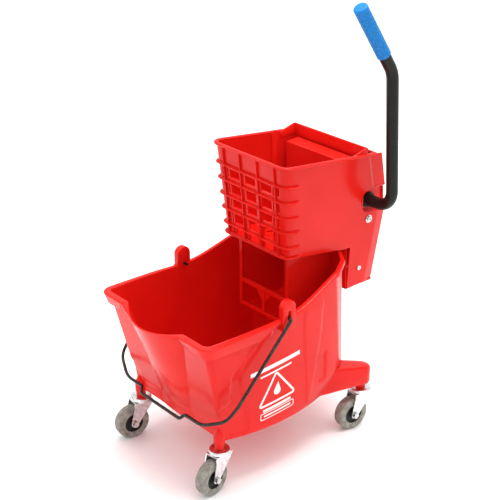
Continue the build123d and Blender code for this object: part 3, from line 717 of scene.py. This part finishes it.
def round_path(corners, radius, pieces=6):
    """Closed path through corners, each one rounded."""
    path = []
    count = len(corners)
    for k, corner in enumerate(corners):
        here = Vector(corner)
        back = (Vector(corners[k - 1]) - here).normalized()
        ahead = (Vector(corners[(k + 1) % count]) - here).normalized()
        cut = radius / tan(back.angle(ahead) / 2)
        start, end = here + back * cut, here + ahead * cut
        for i in range(pieces + 1):
            t = i / pieces
            path.append(tuple(start * (1 - t) ** 2 + here * 2 * t * (1 - t) + end * t ** 2))
    return path


def subdivided(path, closed, longest=6.0):
    """Path with extra points so that it follows the wall."""
    pairs = list(zip(path, path[1:] + path[:1])) if closed else list(zip(path, path[1:]))
    result = []
    for a, b in pairs:
        across_it, up = b[0] - a[0], b[1] - a[1]
        pieces = max(1, int(hypot(across_it, up) / longest))
        result += [(a[0] + across_it * i / pieces, a[1] + up * i / pieces) for i in range(pieces)]
    return result if closed else result + [path[-1]]


PRINT_LIFT = 0.3
HEADING_BAR = ((-152.0, 256.0), (-18.0, 264.0), 9.0)      # start, end and height of the bar
SECOND_BAR = ((-126.0, 242.0), (-42.0, 248.0), 4.0)
SIGN_CORNERS = [(-84.0, 242.0), (-30.0, 176.0), (-127.0, 168.0)]
SIGN_LINE = 4.6
DROP_CENTRE, DROP_R, DROP_TIP = (-80.0, 196.0), 9.0, (2.0, 21.0)
LOW_BAR = ((-116.0, 157.5), (-42.0, 164.0), 6.0)
FRAME_CORNERS = [(-122.0, 151.0), (-34.0, 158.0), (-34.0, 144.0), (-122.0, 137.0)]
FRAME_BAR = [(-114.0, 144.7), (-42.0, 150.4)]


def make_print():
    """Plain white sign on the right side: bars, a rounded triangle and a drop, no lettering."""
    surface = Surface()
    for start, end, height in (HEADING_BAR, SECOND_BAR, LOW_BAR):
        printed_line(surface, [start, end], height, False)
    printed_line(surface, round_path(SIGN_CORNERS, 5.0), SIGN_LINE, True)
    printed_line(surface, round_path(FRAME_CORNERS, 3.0), 1.8, True)
    printed_line(surface, FRAME_BAR, 3.4, False)
    cy, cz = DROP_CENTRE
    tip = (cy + DROP_TIP[0], cz + DROP_TIP[1])
    body = turned_arc(DROP_CENTRE, DROP_R, 150.0, 240.0, 24)
    centre = surface.row([wall_spot(cy, cz, PRINT_LIFT)])[0]
    rim = surface.row([wall_spot(y, z, PRINT_LIFT) for y, z in body + [tip]])
    for a, b in zip(rim, rim[1:] + rim[:1]):
        surface.faces.append((centre, a, b))
    ink = to_object(surface, "side_print", print_white)
    settle(ink, ("SOLIDIFY", {"thickness": 0.15 * MM, "offset": 0.0}))
    fit(ink, "tub", "tub_plastic")


# ---------------- wringer
WRINGER_LOW, HALF_LOW, FLARE = 317.0, 95.0, 20.7 / 332.0
FRONT_LOW, FRONT_TOP = (2.0, 445.0), (-17.0, 649.0)      # Y and height of the front wall
REAR_EDGE = [(317.0, 265.0), (484.0, 288.0), (535.0, 281.0), (621.0, 260.0)]    # height and Y
WRINGER_WALL = 4.0
BACK_WALL_Y, BACK_WALL_TOP = 215.0, 642.0
CORNER_R = 20.0
LEDGE_HEIGHTS = [608.0, 573.0, 538.0, 505.0, 470.0]
RIB_PLACES = [-80.0, -27.0, 27.0, 80.0]
RIB_ENDS = (447.0, 645.0)
SHAFT, SHAFT_HOLE_R = (235.0, 518.0), 17.5      # Y and height, and the hole in the side plates
FOLD_IN, FOLD_WIDE = 6.0, 27.0  # how far the rear edges of the side plates lean in, below the shaft
SCOOP_DEEP, SCOOP_R = 9.0, (21.0, 27.0)     # hollow round the shaft, open to the rear
REAR_LIP_IN = 2.2
SKIRT_FRONT_Y = 183.0           # behind this the side plates reach down outside the tub
SKIRT_FOOT, SKIRT_ROWS = [(183.0, 317.0), (265.0, 321.0)], 28


def wringer_half(z):
    return HALF_LOW + FLARE * (z - WRINGER_LOW)


def wringer_front(z):
    return FRONT_LOW[0] + (FRONT_TOP[0] - FRONT_LOW[0]) * (z - FRONT_LOW[1]) / (FRONT_TOP[1] - FRONT_LOW[1])


def wringer_top(y):
    return level(y, [(-20.0, 650.5), (214.0, 627.0), (262.0, 620.5)])


def wringer_bottom(y):
    return level(y, [(2.0, 445.0), (150.0, 423.0), (168.0, 420.0), (290.0, 420.0)])


def side_relief(y, z):
    """Millimetres that the side plate is pressed inward: the shaft scoop and the folded rear edge."""
    edge = level(z, REAR_EDGE)
    dy, dz = max(0.0, SHAFT[0] - y), z - SHAFT[1]
    scoop = SCOOP_DEEP * (1 - smooth(hypot(dy, dz), *SCOOP_R))
    fold = max(0.0, 1 - (edge - y) / FOLD_WIDE) * FOLD_IN * (1 - smooth(z, 482.0, 496.0))
    rear_lip = REAR_LIP_IN * smooth(z, 541.0, 549.0) * smooth(y, edge - 40.0, edge - 34.0)
    return max(scoop, fold, rear_lip)


FRONT_CELLS = 46
CORNER_CELLS, SIDE_CELLS, WRINGER_ROWS = 8, 96, 72


def wringer_strip(z_of_y):
    """One row of the basket's outer face, from the middle of the front round to the rear edge."""
    z = z_of_y(0.0)
    half, front = wringer_half(z), wringer_front(z)
    row = [((half - CORNER_R) * k / FRONT_CELLS, front, z) for k in range(FRONT_CELLS)]
    for k in range(CORNER_CELLS):
        a = pi / 2 * k / CORNER_CELLS
        row.append((half - CORNER_R + CORNER_R * sin(a), front + CORNER_R * (1 - cos(a)), z))
    start = front + CORNER_R
    for k in range(SIDE_CELLS + 1):
        y = start + (level(z, REAR_EDGE) - start) * k / SIDE_CELLS
        z = z_of_y(y)
        y = start + (level(z, REAR_EDGE) - start) * k / SIDE_CELLS
        row.append((wringer_half(z) - side_relief(y, z), y, z))
    return row


def mirrored_row(row):
    return [(-x, y, z) for x, y, z in row[:0:-1]] + row


def drain_window(i, j, rows):
    """True for the cells of the front wall that the drain windows leave open."""
    x = abs(j - FRONT_CELLS - CORNER_CELLS - SIDE_CELLS + 0.5) * 2.15
    z = rows[i][len(rows[i]) // 2][2]
    place = min(abs(x - c) for c in (0.0, 53.5, 92.0))
    wide = 17.0 if x < 80.0 else 5.0
    band = any(low + 5.5 < z < low + 26.5 for low in LEDGE_HEIGHTS[1:])
    low_band = 449.0 < z < 462.0
    return place < wide and (band or low_band)


def make_basket():
    """Front and side plates of the wringer in one bent sheet, thickened inward."""
    rows = []
    for i in range(WRINGER_ROWS + 1):
        share = i / WRINGER_ROWS
        rows.append(mirrored_row(wringer_strip(
            lambda y, t=share: wringer_bottom(y) + (wringer_top(y) - wringer_bottom(y)) * t)))
    sheet = Surface()
    sheet.grid(rows, skip=lambda i, j: drain_window(i, j, rows))
    skirt_rows = []
    first = next(k for k, p in enumerate(rows[0]) if p[0] > 0 and p[1] >= SKIRT_FRONT_Y)
    tail = rows[0][first:]
    for i in range(SKIRT_ROWS + 1):
        t = i / SKIRT_ROWS
        row = []
        for _, y, z in tail:
            low = level(y, SKIRT_FOOT)
            at_z = low + (z - low) * t
            share = (y - tail[0][1]) / (tail[-1][1] - tail[0][1])
            at_y = tail[0][1] + (level(at_z, REAR_EDGE) - tail[0][1]) * share
            row.append((wringer_half(at_z) - side_relief(at_y, at_z), at_y, at_z))
        skirt_rows.append(row)
    sheet.grid(skirt_rows)
    sheet.grid([[(-x, y, z) for x, y, z in row] for row in skirt_rows])
    basket = to_object(sheet, "wringer_basket", red_wringer)
    hole = Surface()
    hole.prism(turned_arc(SHAFT, SHAFT_HOLE_R, 0.0, 360.0, 48)[:-1], lambda a, b, t: (t, a, b), -140.0, 140.0)
    tool = to_object(hole, "shaft_hole_tool", red_wringer)
    settle(basket, ("SOLIDIFY", {"thickness": WRINGER_WALL * MM, "offset": -1.0, "use_even_offset": True}),
           ("BOOLEAN", {"operation": "DIFFERENCE", "object": tool, "solver": "EXACT"}),
           rounded(0.8), crease=30.0)
    bpy.data.objects.remove(tool)
    fit(basket, "wringer", "wringer_plastic", "wringer_body")


def ledge_path(z, out, wrap):
    """Path round the front of the basket at one height, out from the wall."""
    half, front = wringer_half(z) + out, wringer_front(z) - out
    r = CORNER_R + out
    right = [(half, front + r + wrap * k / 4) for k in range(4, 0, -1)]
    right += [(half - r + r * cos(a), front + r - r * sin(a)) for a in (pi / 2 * k / 10 for k in range(11))]
    left = [(-x, y) for x, y in reversed(right)]
    straight = [(half - r - (half - r) * 2 * k / 12, front) for k in range(1, 12)]
    return right + straight + left


def add_band(surface, z_low, z_high, out, wrap, slope):
    """Ledge round the front: a bar with rounded nose, tapering into the side plates."""
    middle = (z_low + z_high) / 2
    profile = [(-1.5, z_high), (out * 0.75, z_high - slope), (out, z_high - slope - 0.9), (out, z_low + 0.9),
               (out * 0.75, z_low), (-1.5, z_low)]
    paths = [ledge_path(middle, o, wrap) for o, _ in profile]
    loops = []
    count = len(paths[0])
    for k in range(count):
        ease = min(1.0, (min(k, count - 1 - k) + 0.25) / 3.0)
        loop = []
        for (o, z), path in zip(profile, paths):
            x, y = path[k]
            if o > 0 and ease < 1.0:
                bx, by = ledge_path(middle, 0.2, wrap)[k]
                x, y = bx + (x - bx) * ease, by + (y - by) * ease
            loop.append((x, y, z))
        loops.append(loop)
    surface.skin(loops)


def make_lattice():
    """Ledges, thin ribs and bottom bead of the basket."""
    surface = Surface()
    for z in LEDGE_HEIGHTS:
        add_band(surface, z - 2.8, z + 3.6, 6.5, 15.0, slope=3.4)
    add_band(surface, 443.5, 449.5, 6.5, 20.0, slope=2.4)
    for x in RIB_PLACES:
        low, high = RIB_ENDS
        outline = [(wringer_front(low) - 4.8, low), (wringer_front(low) + 2.0, low),
                   (wringer_front(high) + 2.0, high), (wringer_front(high) - 4.8, high)]
        surface.prism(outline, lambda a, b, t, c=x: (c + t, a, b), -1.1, 1.1)
    obj = to_object(surface, "basket_ledges", red_wringer)
    fit(settle(obj, rounded(0.5)), "wringer", "wringer_plastic")


def make_rim_bead():
    """Rolled bead along the top edge of the front and sides."""
    top = wringer_strip(wringer_top)
    path = mirrored_row([p for p in top if p[1] < RIM_BEAD_END])
    surface = Surface()

    def ring(point, k):
        before, after = path[max(0, k - 1)], path[min(len(path) - 1, k + 1)]
        along = (Vector(after) - Vector(before)).normalized()
        outward = along.cross(Vector((0, 0, 1))).normalized()
        up = outward.cross(along).normalized()
        centre = Vector(point) + outward * 0.8
        wide, high = RIM_BEAD_WIDE / 2, RIM_BEAD_HIGH / 2
        return [tuple(centre + outward * wide * cos(a) + up * high * sin(a))
                for a in (2 * pi * n / 14 for n in range(14))]
    surface.skin([ring(point, k) for k, point in enumerate(path)])
    fit(to_object(surface, "basket_rim_bead", red_wringer, crease=60.0), "wringer", "wringer_plastic")


RIM_BEAD_END, RIM_BEAD_WIDE, RIM_BEAD_HIGH = 238.0, 10.4, 6.4
WINDOW_X, WINDOW_Z = (52.0, 84.0), (494.0, 612.0)      # openings that the press plate's ribs pass through


# slope from the side plate's edge up to the top of the back wall, as Y and height
RETURN = [(168.0, 618.0), (168.0, 630.5), (209.0, BACK_WALL_TOP), (216.5, BACK_WALL_TOP), (216.5, 618.0)]


def across(surface, outline, low, high):
    """Prism along X from Y and height points."""
    surface.prism(outline, lambda a, b, t: (t, a, b), low, high)


def bar(surface, x, y, z):
    """Straight rib from ranges of X, Y and height."""
    across(surface, [(y[0], z[0]), (y[1], z[0]), (y[1], z[1]), (y[0], z[1])], x[0], x[1])


def make_back_wall():
    """Wall behind the press plate, with its raised strip and the returns that slope to the sides."""
    surface = Surface()
    (inside, outside), (low_z, high_z) = WINDOW_X, WINDOW_Z
    edge = {z: wringer_half(z) - 3.0 for z in (426.0, low_z, high_z, BACK_WALL_TOP)}
    panels = [[(0, 426.0), (edge[426.0], 426.0), (edge[low_z], low_z), (0, low_z)],
              [(0, low_z), (inside, low_z), (inside, high_z), (0, high_z)],
              [(outside, low_z), (edge[low_z], low_z), (edge[high_z], high_z), (outside, high_z)],
              [(0, high_z), (edge[high_z], high_z), (edge[BACK_WALL_TOP], BACK_WALL_TOP), (0, BACK_WALL_TOP)]]
    for sign in (1, -1):
        for panel in panels:
            surface.prism([(sign * a, b) for a, b in panel], lambda a, b, t: (a, t, b),
                          BACK_WALL_Y - 2.0, BACK_WALL_Y + 2.0)
        surface.prism(RETURN, lambda a, b, t, s=sign: (s * (wringer_half(b) - t), a, b), 1.5, 5.5)
        arch = [(150.0 + 9.0 * cos(a), 624.0 + 15.0 * sin(a)) for a in (pi * k / 12 for k in range(13))]
        arch += [(141.0, 470.0), (159.0, 470.0)]
        surface.prism(arch, lambda a, b, t, s=sign: (s * (wringer_half(b) - t), a, b), 3.0, 7.5)
    obj = to_object(surface, "basket_back_wall", red_wringer, weld=False)
    fit(settle(obj, rounded(0.9)), "wringer", "wringer_plastic")


FLOOR_LINE = [(-2.0, 449.0), (160.0, 428.0), (214.0, 427.0)]
SLOT_PITCH, SLOT_WIDE, SLOT_ROWS, SLOT_LONG = 21.0, 9.0, (45.0, 85.0, 125.0), 28.0


def make_basket_floor():
    """Sloping floor of the basket with its drain slots."""
    xs = [SLOT_PITCH / 6 * k for k in range(-29, 30)]
    ys = [-2.0 + 6.0 * k for k in range(37)]
    rows = [[(max(-96.0, min(96.0, x)), y, level(y, FLOOR_LINE)) for x in xs] for y in ys]

    def slot(i, j):
        x = (xs[j] + xs[j + 1]) / 2
        y = ys[i] + 3.0
        near = abs(x - SLOT_PITCH * round(x / SLOT_PITCH)) < SLOT_WIDE / 2 and abs(x) < 70.0
        return near and any(abs(y - c) < SLOT_LONG / 2 for c in SLOT_ROWS)
    plate = Surface()
    plate.grid(rows, skip=slot)
    obj = to_object(plate, "basket_floor", red_wringer)
    settle(obj, ("SOLIDIFY", {"thickness": 4.0 * MM, "offset": 0.0}),
           rounded(0.6))
    fit(obj, "wringer", "wringer_plastic")


CHUTE_HALF, CHUTE_IN = 79.5, 70.5
CHUTE_Y, CHUTE_Z = (25.0, 152.0), (270.0, 443.0)


def make_chute():
    """Open frame under the basket that hangs in the tub, and the skirt that hooks over its rear rim."""
    surface = Surface()
    y0, y1 = CHUTE_Y
    z0, z1 = CHUTE_Z
    face = (y0, y0 + 5.0)
    for sign in (1, -1):
        cheek = [(y0, z0), (y0, z1), (y1, 423.0), (y1, z0)]
        across(surface, cheek, *sorted((sign * 74.5, sign * CHUTE_HALF)))
        bar(surface, sorted((sign * CHUTE_IN, sign * 75.0)), face, (z0, z1))
        gusset = [(sign * 5.0, 300.0), (sign * 5.0, 326.0), (sign * 24.0, 326.0)]
        surface.prism(gusset, lambda a, b, t: (a, t, b), y0 + 1.0, y0 + 4.0)
    bar(surface, (-CHUTE_IN, CHUTE_IN), face, (424.0, z1))
    bar(surface, (-CHUTE_IN, CHUTE_IN), (y0, y0 + 8.0), (325.5, 334.5))
    bar(surface, (-CHUTE_IN, CHUTE_IN), face, (z0, z0 + 8.0))
    bar(surface, (-5.0, 5.0), face, (z0 + 8.0, 325.5))
    wide = wringer_half(330.0) - 3.0
    bar(surface, (-wide, wide), (SKIRT_FRONT_Y, SKIRT_FRONT_Y + 4.0), (317.0, 428.0))
    bar(surface, (-wide, wide), (SKIRT_FRONT_Y, 264.0), (316.5, 321.0))
    bar(surface, (-wide - 5.0, wide + 5.0), (150.0, 216.0), (421.0, 425.0))
    obj = to_object(surface, "wringer_chute", red_wringer, weld=False)
    fit(settle(obj, rounded(0.9)), "wringer", "wringer_plastic")


COVER_LINE = [(323.5, 261.5), (482.0, 283.5), (535.0, 276.5), (619.0, 256.0)]


def make_rear_cover():
    """Bent cover between the folded rear edges of the side plates."""
    heights = [COVER_LINE[0][0] + (COVER_LINE[-1][0] - COVER_LINE[0][0]) * k / 40 for k in range(41)]
    rows = []
    for z in heights:
        half = wringer_half(z) - 4.6 - FOLD_IN * (1 - smooth(z, 482.0, 496.0))
        crown = 1.6
        rows.append([(half * t, level(z, COVER_LINE) + crown * (1 - t * t) * 0.5, z)
                     for t in (k / 12 - 1 for k in range(25))])
    plate = Surface()
    plate.grid(rows)
    obj = to_object(plate, "rear_cover_plate", red_wringer)
    settle(obj, ("SOLIDIFY", {"thickness": 3.0 * MM, "offset": 0.0}),
           rounded(0.8))
    fit(obj, "wringer", "wringer_plastic", "rear_cover")


# ---------------- hand grip
KNEE = (171.0, 215.93, 817.0)       # centre of the tube's bend
GRIP_LEAN, GRIP_FROM, GRIP_LONG, GRIP_R = radians(34.4), 48.0, 128.0, 15.0
PAD_ROWS, PADS_ROUND = 17, 14


def make_grip():
    """Vinyl sleeve with rows of small raised pads between two plain end bands."""
    axis = Vector((0, -sin(GRIP_LEAN), cos(GRIP_LEAN)))
    side = Vector((1, 0, 0))
    third = axis.cross(side)
    base = Vector(KNEE) + axis * GRIP_FROM
    around, steps = PADS_ROUND * 8, 170
    rows = []

    def ring(height, radius_of):
        points = []
        for k in range(around):
            a = 2 * pi * k / around
            points.append(tuple(base + axis * height + (side * cos(a) + third * sin(a)) * radius_of(k)))
        rows.append(points)

    ring(0.0, lambda k: 13.2)
    ring(0.2, lambda k: GRIP_R - 1.0)
    for i in range(steps + 1):
        height = 1.2 + (GRIP_LONG - 4.2) * i / steps
        pitch = (GRIP_LONG - 20.0) / PAD_ROWS
        place = (height - 9.0) / pitch
        row, within = int(place), place % 1.0
        textured = 0 <= place < PAD_ROWS
        up = smooth(within, 0.08, 0.24) * (1 - smooth(within, 0.72, 0.88)) if textured else 0.0

        def radius(k, up=up, row=row, textured=textured):
            turn = (k / 8 + 0.5 * (row % 2)) % 1.0
            across_pad = smooth(turn, 0.06, 0.26) * (1 - smooth(turn, 0.70, 0.90))
            return GRIP_R - (0.85 if textured else 0.1) + 0.75 * up * across_pad
        ring(height, radius)
    ring(GRIP_LONG - 1.2, lambda k: GRIP_R - 1.0)
    ring(GRIP_LONG - 0.2, lambda k: GRIP_R - 3.2)
    ring(GRIP_LONG, lambda k: GRIP_R - 6.0)
    surface = Surface()
    surface.skin(rows)
    fit(to_object(surface, "grip_sleeve", grip_blue, crease=60.0), "handle", "grip_rubber", "handle_grip")


# ---------------- floor, light and camera
FLOOR_HALF = 30.0                           # metres


def make_floor():
    """Pale level floor that runs out of sight."""
    mesh = bpy.data.meshes.new("studio_floor")
    made = bmesh.new()
    rows = []
    for x in (-FLOOR_HALF, FLOOR_HALF):
        rows.append([made.verts.new((x, y, 0.0)) for y in (-FLOOR_HALF, FLOOR_HALF)])
    made.faces.new((rows[0][0], rows[1][0], rows[1][1], rows[0][1]))
    made.to_mesh(mesh)
    made.free()
    floor = bpy.data.objects.new("studio_floor", mesh)
    bpy.context.scene.collection.objects.link(floor)
    material, _, shader = new_material("painted_floor", Roughness=0.9, Specular_IOR_Level=0.1)
    shader.inputs["Base Color"].default_value = linear("FAFAFA")
    mesh.materials.append(material)


def make_light(name, place, target, size, power, tint):
    data = bpy.data.lights.new(name, "AREA")
    data.shape = "RECTANGLE"
    data.size, data.size_y = size
    data.energy = power
    data.color = linear(tint)[:3]
    light = bpy.data.objects.new(name, data)
    light.location = place
    light.rotation_euler = (Vector(target) - Vector(place)).to_track_quat("-Z", "Y").to_euler()
    bpy.context.scene.collection.objects.link(light)


def make_studio():
    world = bpy.data.worlds.new("studio")
    world.use_nodes = True
    tree = world.node_tree
    back = tree.nodes["Background"]
    back.inputs["Strength"].default_value = 1.3
    # white below the horizon and overhead, with a dim wall between that gives the plastic its contrast
    direction = add(tree, "ShaderNodeTexCoord").outputs["Generated"]
    parts = add(tree, "ShaderNodeSeparateXYZ", Vector=direction)
    height = add(tree, "ShaderNodeMapRange", {"From Min": -1.0, "From Max": 1.0}, Value=parts.outputs["Z"])
    shade = ramp(tree, height.outputs["Result"], [(0.495, "FFFFFF"), (0.51, "BEBEBE"), (0.66, "C4C4C4"),
                                                  (0.80, "FFFFFF")])
    tree.links.new(shade.outputs["Color"], back.inputs["Color"])
    bpy.context.scene.world = world
    bpy.context.scene.view_settings.view_transform = "Standard"
    centre = (0.0, 0.0, 0.40)
    make_light("key_softbox", (-1.2, -2.6, 2.4), centre, (1.8, 1.6), 3.0, "FFFBF5")
    make_light("side_softbox", (2.8, -0.2, 1.5), centre, (1.4, 1.8), 2.0, "F7FAFF")
    make_light("top_softbox", (0.1, 0.3, 3.1), centre, (1.6, 1.6), 80.0, "FFFFFF")


CAMERA_PLACE = (1.7534, -1.4940, 1.4730)    # metres
CAMERA_TURN = 49.66                         # degrees round +Z from looking along +Y
CAMERA_PITCH = 24.26                        # degrees below level
CAMERA_LENS = 86.04                         # millimetres on a 36 mm sensor


def make_camera():
    data = bpy.data.cameras.new("camera")
    data.sensor_width = 36.0
    data.lens = CAMERA_LENS
    data.clip_start, data.clip_end = 0.05, 50.0
    camera = bpy.data.objects.new("camera", data)
    camera.location = CAMERA_PLACE
    camera.rotation_euler = (radians(90.0 - CAMERA_PITCH), 0.0, radians(CAMERA_TURN))
    bpy.context.scene.collection.objects.link(camera)
    bpy.context.scene.camera = camera


make_tub()
make_print()
make_basket()
make_lattice()
make_rim_bead()
make_back_wall()
make_basket_floor()
make_chute()
make_rear_cover()
make_grip()
make_floor()
make_studio()
make_camera()
